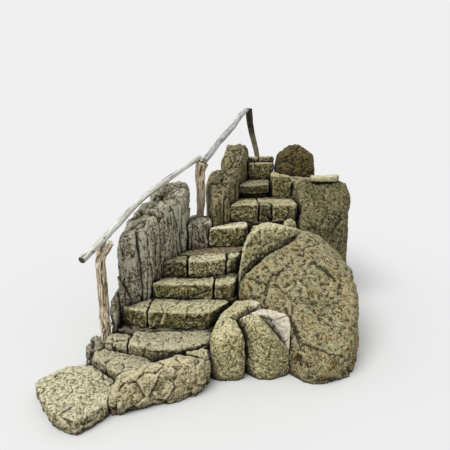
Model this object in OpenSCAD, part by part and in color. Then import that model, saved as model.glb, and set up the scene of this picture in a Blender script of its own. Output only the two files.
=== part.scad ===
// Outdoor stone steps: a short flight of split granite blocks climbing between boulders,
// with a hand rail of two bare branches on three rough posts.
// Units are millimetres, +Z is up, +Y runs up the climb.

/* [Rises] */
// top of the foot slab above the ground
foot_h = 150; // [110:1:190]
// top of the lower slab above the ground
lower_h = 240; // [210:1:280]
// top of the rounded landing slab
landing_h = 350; // [320:1:380]
// riser of the first built step
rise_1 = 195; // [170:1:220]
// riser of the second step
rise_2 = 180; // [155:1:205]
// riser of the third step
rise_3 = 200; // [175:1:225]
// riser of the fourth step, one deep block
rise_4 = 255; // [230:1:280]
// riser of the fifth step
rise_5 = 235; // [210:1:260]
// riser of the sixth step
rise_6 = 205; // [180:1:230]
// riser of the seventh step
rise_7 = 270; // [240:1:290]
// thickness of the flat stones at the head
head_h = 90; // [70:1:115]

/* [Goings] */
// front of the first built step
nose_1 = 710; // [700:1:725]
// tread depth of the first step
going_1 = 290; // [270:1:320]
// tread depth of the second step
going_2 = 190; // [175:1:215]
// tread depth of the third step, with packed earth behind its stones
going_3 = 540; // [515:1:570]
// tread depth of the fourth step
going_4 = 320; // [300:1:345]
// tread depth of the fifth step
going_5 = 540; // [515:1:565]
// tread depth of the sixth step
going_6 = 710; // [685:1:740]
// tread depth of the seventh step
going_7 = 190; // [170:1:215]
// depth of the stones at the head
head_d = 210; // [190:1:235]

/* [Widths] */
// left end of the first step
left_1 = 240; // [232:1:255]
// length of the first step
wide_1 = 1010; // [990:1:1030]
// left end of the second step
left_2 = 530; // [515:1:545]
// length of the second step
wide_2 = 940; // [920:1:960]
// left end of the third step
left_3 = 630; // [615:1:645]
// length of the third step
wide_3 = 900; // [880:1:920]
// left end of the fourth step
left_4 = 1115; // [1100:1:1130]
// length of the fourth step
wide_4 = 530; // [510:1:550]
// left end of the fifth step
left_5 = 1410; // [1395:1:1425]
// length of the fifth step
wide_5 = 900; // [880:1:920]
// left end of the sixth step
left_6 = 1530; // [1515:1:1545]
// length of the sixth step
wide_6 = 515; // [495:1:530]
// left end of the seventh step
left_7 = 1725; // [1710:1:1740]
// length of the seventh step
wide_7 = 440; // [425:1:455]

/* [Joints and edges] */
// open joint between neighbouring stones of the flight
joint = 5; // [3:0.5:10]
// rounding of a worn step edge
worn = 16; // [10:1:24]
// roughness of split faces
rough = 13; // [6:1:20]
// how far a tread stone reaches under the next step
lap = 30; // [22:1:40]

/* [Rail and posts] */
// radius of the lower rail near its foot
rail_r = 36; // [31:1:41]
// radius of the upper rail at its middle
upper_r = 44; // [38:1:50]
// radius of the bent lower post
low_post_r = 50; // [44:1:56]
// radius of the middle post at half height
mid_post_r = 60; // [52:1:68]
// radius of the top post at half height
top_post_r = 54; // [48:1:60]
// play between pieces that touch
seat_gap = 0.3; // [0.2:0.1:1.0]

/* [Rock beside the steps] */
// how far the first standing rock stays below the rail
column_1_drop = 105; // [80:1:180]
// how far the second standing rock stays below the rail
column_2_drop = 95; // [80:1:180]
// how far the third standing rock stays below the rail
column_3_drop = 120; // [90:1:200]
// rock under the middle post, above the fourth step
pier_rise = 68; // [45:1:95]
// rock left of the fifth step, above the sixth step
bank_rise = 225; // [150:1:320]
// rock left of the seventh step, above that step
upper_bank_rise = 310; // [220:1:400]
// great boulder at the right, above the fourth step
flank_rise = 90; // [30:1:150]
// flat-topped rock behind it, above the sixth step
ledge_rise = 85; // [30:1:140]
// height of the cheek block beside the sixth step
cheek_h = 330; // [290:1:370]
// boulder beside the head, above the stones at the head
head_rock_rise = 235; // [140:1:330]
// spread of the standing rock at the ground
flare = 60; // [30:1:90]

/* [Hidden] */

granite = [0.55, 0.52, 0.44];
pale_granite = [0.66, 0.62, 0.53];
dark_granite = [0.38, 0.35, 0.29];
earth_brown = [0.36, 0.30, 0.22];
bleached = [0.74, 0.73, 0.70];
bark_brown = [0.42, 0.31, 0.23];

// levels of the beds and treads
level_1 = landing_h + rise_1;
level_2 = level_1 + rise_2;
level_3 = level_2 + rise_3;
level_4 = level_3 + rise_4;
level_5 = level_4 + rise_5;
level_6 = level_5 + rise_6;
level_7 = level_6 + rise_7;
level_8 = level_7 + head_h;
earth_d = 125;
wedge_h = rise_6 * 0.36;
pier_h = level_4 + pier_rise;
bank_h = level_6 + bank_rise;
upper_bank_h = level_7 + upper_bank_rise;
flank_h = level_4 + flank_rise;
ledge_h = level_6 + ledge_rise;
head_rock_h = level_8 + head_rock_rise;

// fronts of the steps
nose_2 = nose_1 + going_1;
nose_3 = nose_2 + going_2;
nose_4 = nose_3 + going_3;
nose_5 = nose_4 + going_4;
nose_6 = nose_5 + going_5;
nose_7 = nose_6 + going_6;
nose_8 = nose_7 + going_7;
head_back = nose_8 + head_d;
back_y = head_back + 180;
tuck = 3;

// right ends of the steps
right_1 = left_1 + wide_1;
right_2 = left_2 + wide_2;
right_3 = left_3 + wide_3;
right_4 = left_4 + wide_4;
right_5 = left_5 + wide_5;
right_6 = left_6 + wide_6;
right_7 = left_7 + wide_7;

// lines along which the rock at each side meets the flight, as [distance up the climb, x]
front_y = nose_1 - 5;
wide_y = nose_5 - 150;
left_line = [[front_y, left_1], [nose_1 + 110, left_1], [nose_2 + 50, left_2], [nose_3, left_3],
    [nose_3 + 400, left_3 + 250], [nose_4 - 20, left_4], [nose_5 - 20, left_5], [nose_6 - 90, left_6],
    [nose_7, left_7], [back_y, left_7 + 40]];
right_line = [[front_y, right_1], [nose_1 + 50, right_1], [nose_2 + 30, right_2],
    [nose_3 + 170, right_3], [nose_4 + 70, right_4], [wide_y - 50, right_4 + 15], [wide_y, right_5],
    [nose_6 + 20, right_5 + 60], [nose_7 - 300, right_7 + 60], [nose_7, right_7], [back_y, right_7 + 50]];
function on_left(y) = [lookup(y, left_line), y];
function on_right(y) = [lookup(y, right_line), y];
function shift_x(p, d) = [p.x + d, p.y];
function in_left(y) = shift_x(on_left(y), joint);
function in_right(y) = shift_x(on_right(y), -joint);

// corners shared by the ground stones
post_x = 149;
chock_y = nose_1 - 155;
mid_a = [930, nose_1 - 335];
mid_b = [1190, nose_1 - 430];
mid_c = [1196, nose_1 - 240];
mid_d = [right_1 + 8, nose_1 - 60];
foot_a = [100, 400];
foot_b = [388, 165];
foot_c = (foot_b + mid_a) / 2;
foot_g = [384, -95];
foot_d = [660, chock_y - 180];
foot_e = [412, chock_y - 93];
foot_f = [post_x, chock_y];

foot_slab_plan = [[-355, 170], [-30, -205], [195, -290], foot_g, foot_b, foot_a, [-150, 390]];
lower_slab_plan = [foot_a, foot_b, foot_c, foot_d, foot_e, foot_f, [70, foot_f.y - 60]];
front_boulder_plan = [foot_g, [640, -15], [930, 70], [1125, 180], mid_b, mid_a, foot_b];
front_chock_plan = [mid_a, mid_b, [1212, nose_1 - 400], mid_c];
landing_slab_plan = [foot_d, mid_a + [0, 4], mid_c, mid_d, [right_1 - 70, front_y], [foot_e.x, front_y], foot_e];
left_chock_plan = [foot_f, foot_e, [foot_e.x, front_y], [post_x, front_y]];

// the built steps
step1_seam = left_1 + 312;
step1_left_plan = [[left_1 + joint, nose_1 + 115], [step1_seam - joint, nose_1 + 14],
    [step1_seam - joint, nose_2 + lap], in_left(nose_2 + lap)];
step1_right_plan = [[step1_seam, nose_1 + 8], [step1_seam + 350, nose_1 - 4], [right_1 - 60, nose_1],
    [right_1 - joint, nose_1 + 60], in_right(nose_2 + lap - 60), [right_1 + 60, nose_2 + lap],
    [step1_seam, nose_2 + lap]];
step2_seam = left_2 + 700;
step2_left_plan = [[left_2 + joint, nose_2 + 50], [left_2 + 300, nose_2 + 10], [step2_seam - joint, nose_2],
    [step2_seam - joint, nose_3 + lap], in_left(nose_3 + lap)];
step2_right_plan = [[step2_seam, nose_2], [right_2 - 60, nose_2 + 12], [right_2 - joint, nose_2 + 60],
    in_right(nose_3 + lap), [step2_seam, nose_3 + lap]];
step3_seam_a = left_3 + 300;
step3_seam_b = left_3 + 738;
step3_left_plan = [[left_3 + joint, nose_3 + 10], [left_3 + 150, nose_3 - 4], [step3_seam_a - joint, nose_3 - 12],
    [step3_seam_a - joint, nose_3 + 220], in_left(nose_3 + 220)];
step3_centre_plan = [[step3_seam_a, nose_3 - 14], [left_3 + 500, nose_3 - 8], [step3_seam_b - joint, nose_3 + 85],
    [step3_seam_b - joint, nose_3 + 300], [step3_seam_a, nose_3 + 220]];
step3_right_plan = [[step3_seam_b, nose_3 + 90], [right_3 - 50, nose_3 + 150], in_right(nose_3 + 200),
    in_right(nose_3 + 330), [step3_seam_b, nose_3 + 320]];
packed_plan = [in_left(nose_3 + 232), [step3_seam_a, nose_3 + 232], [step3_seam_b, nose_3 + 314],
    [right_3 - joint, nose_3 + 342], in_right(nose_4 - 40), in_right(nose_4 + 18), [left_4 + 14, nose_4 + 18],
    in_left(nose_4 - 24), in_left(nose_3 + 404)];
step4_plan = [in_left(nose_4 - 4), [left_4 + wide_4 / 2, nose_4], [right_4 - 50, nose_4 + 50],
    in_right(nose_4 + 100), [right_4 + 4, nose_5 + lap], in_left(nose_5 + lap), in_left(nose_4 + 150)];
step5_seam_a = left_5 + 404;
step5_seam_b = left_5 + 574;
step5_left_plan = [in_left(nose_5 - 12), [left_5 + 200, nose_5 - 2], [step5_seam_a - joint, nose_5 + 40],
    [step5_seam_a - joint, nose_6 + lap], in_left(nose_6 + lap), in_left(nose_5 + 250)];
step5_right_plan = [[step5_seam_a, nose_5 + 20], [left_5 + 530, nose_5 - 2], [step5_seam_b - joint, nose_5 + 20],
    [step5_seam_b - joint, nose_5 + 210], [step5_seam_a, nose_5 + 240]];
step5_slab_plan = [[step5_seam_b, nose_5], [step5_seam_b + 150, nose_5 - 4], [right_5 - 30, nose_5],
    in_right(nose_5 + 60), in_right(nose_6 - 60), [right_5 - 100, nose_6 + lap], [step5_seam_a, nose_6 + lap],
    [step5_seam_a, nose_5 + 252], [step5_seam_b, nose_5 + 226]];
step6_plan = [in_left(nose_6 - 80), [left_6 + 250, nose_6 - 50], [right_6 - 40, nose_6 + 50],
    [right_6, nose_6 + 300], [right_7 - 70, nose_7 + lap], in_left(nose_7 + lap), in_left(nose_6 + 200)];
wedge_plan = [[left_6 + 60, nose_6 + 44], [left_6 + 300, nose_6 + 48], [right_6 - 60, nose_6 + 110],
    [right_6 - 40, nose_6 + 190], [left_6 + 80, nose_6 + 160]];
cheek_plan = [[right_6 + joint, nose_6 + 50], [right_5 + 30, nose_6 + 40], in_right(nose_6 + 140),
    in_right(nose_7 - 300), in_right(nose_7 - 20), [right_7 - 52, nose_7 - 20], [right_6 + joint, nose_6 + 310]];
step7_plan = [in_left(nose_7), [left_7 + wide_7 / 2, nose_7], [right_7 - 20, nose_7 + 12],
    in_right(nose_7 + 60), in_right(nose_8 + lap), in_left(nose_8 + lap)];
head_seam = left_7 + 205;
head_left_plan = [in_left(nose_8), [head_seam - joint, nose_8 + 6], [head_seam - joint, head_back],
    in_left(head_back)];
head_right_plan = [[head_seam, nose_8 + 4], in_right(nose_8 + 14), in_right(head_back - 20), [head_seam, head_back]];

// loose stones piled against the great boulder
crack_a = on_right(nose_2 + 90);
crack_b = [2640, wide_y - 60];
lean_a = on_right(nose_2 + 30);
lean_b = [2090, 340];
function lean_at(t) = lean_a + (lean_b - lean_a) * t;
pile_a = lean_at(0.44);
pile_c = lean_at(0.83);
pile_e = [1470, nose_1 - 60];
pile_f = [1540, nose_1 - 240];
pile_left_plan = [mid_c, [1208, nose_1 - 320], [1300, nose_1 - 365], [1480, nose_1 - 360], [1545, nose_1 - 310],
    pile_f, pile_e, mid_d];
pile_front_plan = [pile_f, [1600, nose_1 - 290], [1680, nose_1 - 340], [1800, nose_1 - 345], pile_c, pile_e];
pile_long_plan = [mid_d, pile_e, pile_a, lean_a, on_right(nose_1 + 60)];
pile_back_plan = [pile_e, pile_c, pile_a];

// rock at the right
flank_boulder_plan = [lean_b, [2310, 300], [2580, 425], [2760, 770], [2810, 1300], [2770, 1690], crack_b,
    crack_a, lean_a];
flank_slab_plan = [crack_a, crack_b, [crack_b.x, wide_y - 52], on_right(wide_y - 52), on_right(nose_4 + 70),
    on_right(nose_3 + 170)];
side_seam = right_5 - 200;
side_low_plan = [[right_4 + 30, wide_y + 12], [side_seam - joint, wide_y + 6], [side_seam - joint, nose_5 - 12],
    [right_4 + 30, nose_5 - 12]];
side_high_plan = [[side_seam, wide_y + 8], [right_5 - 2, wide_y + 10], [right_5 - 2, nose_5 - 12],
    [side_seam, nose_5 - 12]];
ledge_plan = [on_right(wide_y), [2660, wide_y - 30], [2960, nose_5], [3130, nose_6 - 220], [3130, nose_6 + 20],
    on_right(nose_6 + 20)];
ledge_slab_plan = [[2560, nose_6 - 190], [2900, nose_6 - 170], [3010, nose_6 - 60], [2960, nose_6 + 20],
    [2600, nose_6 + 20]];
shoulder_plan = [on_right(nose_6 + 20), [3130, nose_6 + 20], [3080, nose_6 + 420], [2840, nose_7 - 130],
    on_right(nose_7 - 130), on_right(nose_7 - 300)];
head_rock_plan = [on_right(nose_7 - 130), [2840, nose_7 - 130], [2850, nose_7 + 260], [2600, back_y - 20],
    on_right(back_y), on_right(nose_7)];

// bare branches of the rail, from the lower end up
rail_low_path = [[post_x - 72, nose_1 - 310, landing_h + 855], [post_x - 8, nose_1 - 60, landing_h + 933],
    [left_1 - 1, nose_1 + 160, level_1 + 846], [left_3 - 209, nose_3 + 110, level_2 + 888],
    [left_3 + 55, nose_3 + 510, level_3 + 886], [left_4 - 85, nose_5 + 30, level_4 + 859]];
rail_high_path = [[left_4 - 26, nose_5 + 4, level_4 + 815], [left_4 + 138, nose_6 - 140, level_5 + 800],
    [left_4 + 355, nose_6 + 310, level_6 + 834], [left_7 - 109, nose_7 + 60, level_7 + 776],
    [left_7 + 8, head_back + 76, level_8 + 790]];
function rail_under(plan) =
    lookup(middle(outline(plan, 12, 0)).y, [for (p = rail_low_path) [p.y, p.z]]) - rail_r;

// rock at the left
post_foot_plan = [[-90, nose_1 - 110], [post_x, nose_1 - 130], [post_x, nose_1 + 140], [40, nose_1 + 160],
    [-60, nose_1 + 130]];
strip_x = post_x + 26;
left_strip_plan = [[strip_x, front_y], [left_1, front_y], [left_1, nose_1 + 300], [left_1 - 30, nose_1 + 350],
    [strip_x, nose_1 + 320]];
col_a = on_left(nose_3 + 95);
col_b = on_left(nose_3 + 345);
col_c = on_left(nose_3 + 400);
col_d = [col_c.x, nose_5 + 130];
col_e = on_left(nose_4 + 60);
col_f = [1120, nose_5 + 130];
bank_a = on_left(nose_6 + 215);
column_1_plan = [on_left(nose_1 + 110), on_left(nose_2 + 50), on_left(nose_3), col_a, [left_1, col_a.y]];
column_2_plan = [col_a, col_b, [380, col_b.y], [250, col_a.y + 20], [250, col_a.y]];
column_3_plan = [col_b, col_c, [col_c.x, nose_4 + 260], [620, nose_4 + 260], [450, nose_4 + 60], [430, col_b.y]];
post_pier_plan = [col_c, on_left(nose_4 - 20), col_e, col_f, col_d];
bank_rock_plan = [col_e, on_left(nose_5 - 20), on_left(nose_6 - 90), bank_a, [1230, bank_a.y],
    [1090, nose_5 + 420], col_f];
upper_bank_plan = [bank_a, on_left(nose_7), on_left(back_y), [1350, back_y - 30], [1290, nose_6 + 500],
    [1310, bank_a.y]];

// plan outlines
function span(p, i) = norm(p[(i + 1) % len(p)] - p[i]);
function girth(p, i = 0) = i == len(p) ? 0 : span(p, i) + girth(p, i + 1);
function walk(p, d, i = 0) =
    let (k = i % len(p), s = max(span(p, k), 0.001))
    d <= s ? p[k] + (p[(k + 1) % len(p)] - p[k]) * d / s : walk(p, d - s, i + 1);
function soft(p, g, d, r) =
    (walk(p, (d + g - r) % g) + 2 * walk(p, d % g) + walk(p, (d + r) % g)) / 4;
function begun(p, i) = i == 0 ? 0 : begun(p, i - 1) + span(p, i - 1);
function outline(p, n, r) =
    let (g = girth(p))
    [for (i = [0:len(p) - 1])
        let (m = max(1, round(span(p, i) * n / g)))
        for (j = [0:m - 1]) soft(p, g, begun(p, i) + span(p, i) * j / m, r)];
function middle(o, i = 0) = i == len(o) ? [0, 0] : o[i] / len(o) + middle(o, i + 1);
function unit(v) = v / max(norm(v), 0.001);
function inward(o, k) =
    let (n = len(o), t = o[(k + 1) % n] - o[(k + n - 1) % n]) unit([-t.y, t.x]);

// sides of a plan that are shared with a neighbour hold every point of the stone back
function walls(p, shut) = [for (i = shut)
    let (a = p[i], t = unit(p[(i + 1) % len(p)] - a), w = [t.y, -t.x]) [w.x, w.y, w * a - seat_gap / 2]];
function held(q, w, i = 0) =
    i == len(w) ? q :
    held(q - [w[i][0], w[i][1]] * max(0, [w[i][0], w[i][1]] * q - w[i][2]), w, i + 1);

// rolls of the surface of a stone on the way around it
rolls = 7;

// near a shared side a point moves square to it, so that the points keep their order along it
least_near = 45;
function square(u, q, w, near, i = 0) =
    i == len(w) ? u :
    let (d = [w[i][0], w[i][1]]) square(d * q > w[i][2] - near ? d * (d * u) : u, q, w, near, i + 1);

// split planes that take the corners off a boulder, as [direction, distance]
function reach(o, d) = max([for (p = o) p * d]);
function splits(o, h, seed, count, bite) =
    let (az = rands(0, 360, count + 1, seed), el = rands(18, 58, count + 1, seed + 1))
    [for (i = [0:1:count - 1])
        let (d = [cos(el[i]) * cos(az[i]), cos(el[i]) * sin(az[i]), sin(el[i])])
        [d, (reach(o, [d.x, d.y]) + d.z * h) - bite * (0.6 + 0.4 * sin(az[i] * 3))]];
function split(v, s, i = 0) =
    i == len(s) ? v : split(v - s[i][0] * max(0, s[i][0] * v - s[i][1]), s, i + 1);

// one stone: rings stacked from bed to top
// each ring is [share of height, set back, scale, share of side roughness, share of top roughness]
function slab_rings(h, arris, toe) = [
    [0, toe, 1, 0.3, 0],
    [0.3, 0, 1, 1, 0],
    [1 - 0.9 * arris / h, arris * 0.05, 1, 1, 0],
    [1 - 0.28 * arris / h, arris * 0.38, 1, 0.5, 0.3],
    [1, arris * 1.25, 1, 0.3, 0.5],
    [1, arris, 0.62, 0.3, 0.8],
    [1, arris, 0.27, 0.3, 0.35]];
function block_rings(arris, toe) = [
    [0, toe, 1, 0.3, 0],
    [0.2, toe * 0.1, 1, 1, 0],
    [0.56, 0, 1, 1, 0],
    [0.86, arris * 0.2, 0.99, 1, 0],
    [0.96, arris * 0.6, 0.97, 0.9, 0.4],
    [1, arris, 0.9, 0.6, 0.8],
    [1, arris, 0.6, 0.5, 1],
    [1, arris, 0.28, 0.3, 0.6]];
function rock_rings(arris, toe) = [
    [0, toe, 1, 0.3, 0],
    [0.14, toe * 0.2, 1, 1, 0],
    [0.38, 0, 1, 1, 0],
    [0.64, arris * 0.12, 0.98, 1, 0],
    [0.83, arris * 0.4, 0.94, 1, 0.3],
    [0.95, arris * 0.8, 0.87, 0.8, 0.6],
    [1, arris, 0.62, 0.6, 0.8],
    [1, arris * 0.6, 0.28, 0.3, 0.4]];
function boulder_rings(arris, toe) = [
    [0, toe, 1, 0.3, 0],
    [0.16, toe * 0.5, 1, 1, 0],
    [0.4, 0, 1, 1, 0],
    [0.66, arris * 0.06, 1, 1, 0],
    [0.86, arris * 0.16, 1, 1, 0],
    [0.97, arris * 0.5, 0.98, 0.9, 0.4],
    [1, arris, 0.92, 0.6, 0.8],
    [1, arris, 0.74, 0.5, 1],
    [1, arris, 0.54, 0.4, 1],
    [1, arris, 0.3, 0.3, 1]];
function column_rings(arris, toe) = [
    [0, toe, 1, 0.3, 0],
    [0.14, toe * 0.55, 1, 1, 0],
    [0.36, toe * 0.1, 1, 1, 0],
    [0.6, arris * 0.05, 1, 1, 0],
    [0.8, arris * 0.12, 1, 1, 0],
    [0.945, arris * 0.3, 1, 1, 0.3],
    [1, arris, 0.96, 0.6, 0.8],
    [1, arris, 0.45, 0.4, 0.5]];

function lid(q, z, tip, cap, planes) =
    min(concat([z + tip * q, cap], [for (f = planes) z - f[2] + [f[0], f[1]] * q]));
function wave(k, j, seed) = (sin(k * 47 + seed * 61) + sin(k * 101 + j * 83 + seed * 29) + 2) / 4;
function swale(q, turn, seed) =
    (sin(q.x * turn + seed * 70) + sin(q.y * turn * 0.9 + q.x * turn * 0.3 + seed * 130) +
        0.6 * sin((q.x + q.y) * turn * 1.7 + seed * 31) + 2.6) / 5.2;
function ring(o, c, f, j, z0, z1, lean, tip, cap, planes, crown, ruf, turn, seed, swell, w, s) =
    let (n = len(o), grit = rands(0, 1, n, seed * 40 + j))
    [for (k = [0:n - 1])
        let (dent = ruf * f[3] * (0.6 * wave(k, j, seed) + 0.4 * grit[k]),
            b = held(held(o[k], w), w),
            near = max(least_near, 1.2 * (swell - min(f[1], 0))),
            p = b + square(inward(o, k), b, w, near) * (min(f[1], 0) + dent - swell),
            h = 1 - min(max(f[1], 0) / max(inward(o, k) * (c - o[k]), 40), 0.4),
            q = held(held(c + (p - c) * h * f[2] + lean * f[0], w), w),
            top = lid(q - c - lean, z1, tip, cap, planes) - crown * f[2] * f[2] -
                ruf * f[4] * (0.75 * swale(q - c, turn, seed) + 0.25 * grit[k]))
        split([q.x, q.y, z0 + (max(top, z0 + 30) - z0) * f[0]], s)];

module loft(rings, peak) {
    m = len(rings);
    n = len(rings[0]);
    last = rings[m - 1];
    top = [for (a = [0:2]) [for (p = last) p[a]] * [for (p = last) 1] / n] + [0, 0, peak];
    polyhedron(concat([for (r = rings) for (p = r) p], [top]), concat(
        [[for (k = [0:n - 1]) k]],
        [for (j = [0:m - 2]) for (k = [0:n - 1])
            [j * n + k, (j + 1) * n + k, j * n + (k + 1) % n]],
        [for (j = [0:m - 2]) for (k = [0:n - 1])
            [j * n + (k + 1) % n, (j + 1) * n + k, (j + 1) * n + (k + 1) % n]],
        [for (k = [0:n - 1]) [(m - 1) * n + k, m * n, (m - 1) * n + (k + 1) % n]]));
}

// a stone on its plan outline: shut names the sides that bear on neighbours, lean moves the top,
// tip slopes it and cap limits it, planes split it further as [slope in x, slope in y, drop],
// crown rounds it, bite takes corners off along split planes
module stone(plan, z0, z1, rings, seed, shut = [], n = 18, ruf = rough, soften = 30, lean = [0, 0],
    tip = [0, 0], cap = 9000, planes = [], crown = 0, swell = 0, chips = 0, bite = 0) {
    o = outline(plan, n, soften);
    c = middle(o);
    w = walls(plan, shut);
    s = splits(o, z1, seed, chips, bite);
    turn = 360 * rolls / girth(plan);
    loft([for (j = [0:len(rings) - 1])
        ring(o, c, rings[j], j, z0, z1, lean, tip, cap, planes, crown, ruf, turn, seed, swell, w, s)], 0);
}

// round timber: the path and the girths are eased between the points given
steps = 2;
function bend(a, b, c, d, t) =
    (2 * b + (c - a) * t + (2 * a - 5 * b + 4 * c - d) * pow(t, 2) + (3 * b - a - 3 * c + d) * pow(t, 3)) / 2;
function eased(p) =
    let (n = len(p))
    concat([for (i = [0:n - 2]) for (j = [0:steps - 1])
        bend(p[max(i - 1, 0)], p[i], p[i + 1], p[min(i + 2, n - 1)], j / steps)], [p[n - 1]]);
function along(path, i) = unit(path[min(i + 1, len(path) - 1)] - path[max(i - 1, 0)]);
function hoop(path, radii, i, n, seed, ruf, up, grow) =
    let (t = along(path, i), u = unit(cross(t, up)), v = cross(u, t),
        grit = rands(0, 1, n, seed * 30 + i))
    [for (k = [0:n - 1]) path[i] + (radii[i] + grow - ruf * grit[k]) *
        (cos(k * 360 / n) * v + sin(k * 360 / n) * u)];
module timber(points, girths, seed, ruf = 3, n = 12, up = [0, 0, 1], grow = 0) {
    path = eased(points);
    radii = eased(girths);
    m = len(path);
    hoops = [for (i = [0:m - 1]) hoop(path, radii, i, n, seed, ruf, up, grow)];
    polyhedron([for (h = hoops) for (p = h) p], concat(
        [[for (k = [0:n - 1]) k]],
        [for (j = [0:m - 2]) for (k = [0:n - 1])
            [j * n + k, (j + 1) * n + k, j * n + (k + 1) % n]],
        [for (j = [0:m - 2]) for (k = [0:n - 1])
            [j * n + (k + 1) % n, (j + 1) * n + k, (j + 1) * n + (k + 1) % n]],
        [[for (k = [n - 1:-1:0]) (m - 1) * n + k]]));
}

// foot of the flight
module foot_slab() {
    color(pale_granite)
        stone(foot_slab_plan, 0, foot_h, slab_rings(foot_h, worn, 12), 3, shut = [3, 4], n = 22, swell = 12);
}
module lower_slab() {
    color(pale_granite)
        stone(lower_slab_plan, 0, lower_h, slab_rings(lower_h, worn, 10), 5, shut = [0, 1, 2, 3, 4],
            n = 22, swell = 12);
}
module front_boulder() {
    color(granite)
        stone(front_boulder_plan, 0, foot_h + 190, rock_rings(60, 20), 7, shut = [4, 5, 6], n = 26,
            swell = 12, tip = [0.08, 0], chips = 2, bite = 60, crown = 20);
}
module front_chock() {
    color(granite)
        stone(front_chock_plan, 0, landing_h - 40, block_rings(30, 10), 9, shut = [0, 3], n = 14,
            swell = 12);
}
module landing_slab() {
    color(pale_granite)
        stone(landing_slab_plan, 0, landing_h, slab_rings(landing_h, worn * 2, 14), 11,
            shut = [0, 1, 2, 4, 5, 6], n = 26, swell = 12, soften = 40);
}
module left_chock() {
    color(granite)
        stone(left_chock_plan, 0, landing_h - 30, block_rings(30, 10), 13, shut = [0, 1, 2, 3], n = 16,
            swell = 12);
}

// the built steps
module step1_left() {
    color(granite)
        stone(step1_left_plan, landing_h, level_1, slab_rings(rise_1, worn * 0.7, 6), 15, n = 16,
            soften = 16);
}
module step1_right() {
    color(granite)
        stone(step1_right_plan, landing_h, level_1, slab_rings(rise_1, worn, 6), 17, n = 22, soften = 22);
}
module step2_left() {
    color(granite)
        stone(step2_left_plan, level_1, level_2, slab_rings(rise_2, worn * 0.7, 6), 19, n = 20,
            soften = 18);
}
module step2_right() {
    color(granite)
        stone(step2_right_plan, level_1, level_2, slab_rings(rise_2, worn, 6), 21, n = 16, soften = 18);
}
module step3_left() {
    color(granite)
        stone(step3_left_plan, level_2, level_3, block_rings(worn * 1.6, 8), 23, n = 16, soften = 26);
}
module step3_centre() {
    color(granite)
        stone(step3_centre_plan, level_2, level_3, slab_rings(rise_3, worn * 0.7, 6), 25, n = 20,
            soften = 18);
}
module step3_right() {
    color(dark_granite)
        stone(step3_right_plan, level_2, level_3, block_rings(worn, 6), 27, n = 14, soften = 18);
}
module packed_tread() {
    color(earth_brown)
        stone(packed_plan, level_3 - earth_d, level_3, slab_rings(earth_d, 10, 0), 29, n = 22,
            soften = 10, ruf = 8);
}
module step4_block() {
    color(granite)
        stone(step4_plan, level_3, level_4, slab_rings(rise_4, worn, 8), 31, n = 20, soften = 22);
}
module step5_left() {
    color(granite)
        stone(step5_left_plan, level_4, level_5, slab_rings(rise_5, worn, 8), 33, n = 20, soften = 22);
}
module step5_right() {
    color(dark_granite)
        stone(step5_right_plan, level_4, level_5, block_rings(worn, 6), 35, n = 14, soften = 18);
}
module step5_slab() {
    color(pale_granite)
        stone(step5_slab_plan, level_4, level_5, slab_rings(rise_5, worn, 8), 37, n = 20, soften = 14);
}
module step6_slab() {
    color(granite)
        stone(step6_plan, level_5 + wedge_h, level_6, slab_rings(rise_6 - wedge_h, worn, 6), 39, n = 20,
            soften = 22);
}
module step6_wedge() {
    color(dark_granite)
        stone(wedge_plan, level_5, level_5 + wedge_h, slab_rings(wedge_h, 12, 4), 41, n = 16,
            soften = 20, ruf = 5);
}
module cheek_block() {
    color(pale_granite)
        stone(cheek_plan, level_5, level_5 + cheek_h, slab_rings(cheek_h, worn, 10), 67, n = 22,
            soften = 16);
}
module step7_block() {
    color(dark_granite)
        stone(step7_plan, level_6, level_7, slab_rings(rise_7, worn, 8), 43, n = 20, soften = 24);
}
module head_left() {
    color(pale_granite)
        stone(head_left_plan, level_7, level_8, slab_rings(head_h, worn * 0.8, 6), 45, n = 16,
            soften = 20);
}
module head_right() {
    color(pale_granite)
        stone(head_right_plan, level_7, level_8 + 12, slab_rings(head_h + 12, worn * 0.8, 6), 47, n = 16,
            soften = 20);
}

// loose stones piled at the front right
module pile_left() {
    color(granite)
        stone(pile_left_plan, 0, landing_h + 180, block_rings(26, 16), 49, shut = [5, 6, 7], n = 22,
            tip = [0.45, 0.1], planes = [[-0.3, 0.1, 0], [0, 1, -70]], soften = 16, swell = 6);
}
module pile_front() {
    color(pale_granite)
        stone(pile_front_plan, 0, landing_h + 290, block_rings(26, 16), 51, shut = [3, 4, 5], n = 22,
            tip = [0.5, 0], planes = [[-1.1, 0, 70], [0, 1.8, -130]], soften = 16, swell = 6);
}
module pile_long() {
    color(pale_granite)
        stone(pile_long_plan, 0, landing_h + 215, block_rings(26, 16), 53, shut = [0, 1, 2, 3, 4],
            n = 20, tip = [0.5, -0.1], swell = 8, cap = landing_h + 310, soften = 16);
}
module pile_back() {
    color(granite)
        stone(pile_back_plan, 0, landing_h + 250, block_rings(20, 12), 55, shut = [0, 1, 2],
            n = 18, ruf = 8, tip = [0.3, 0], cap = landing_h + 280, swell = 8, soften = 16);
}

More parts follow.
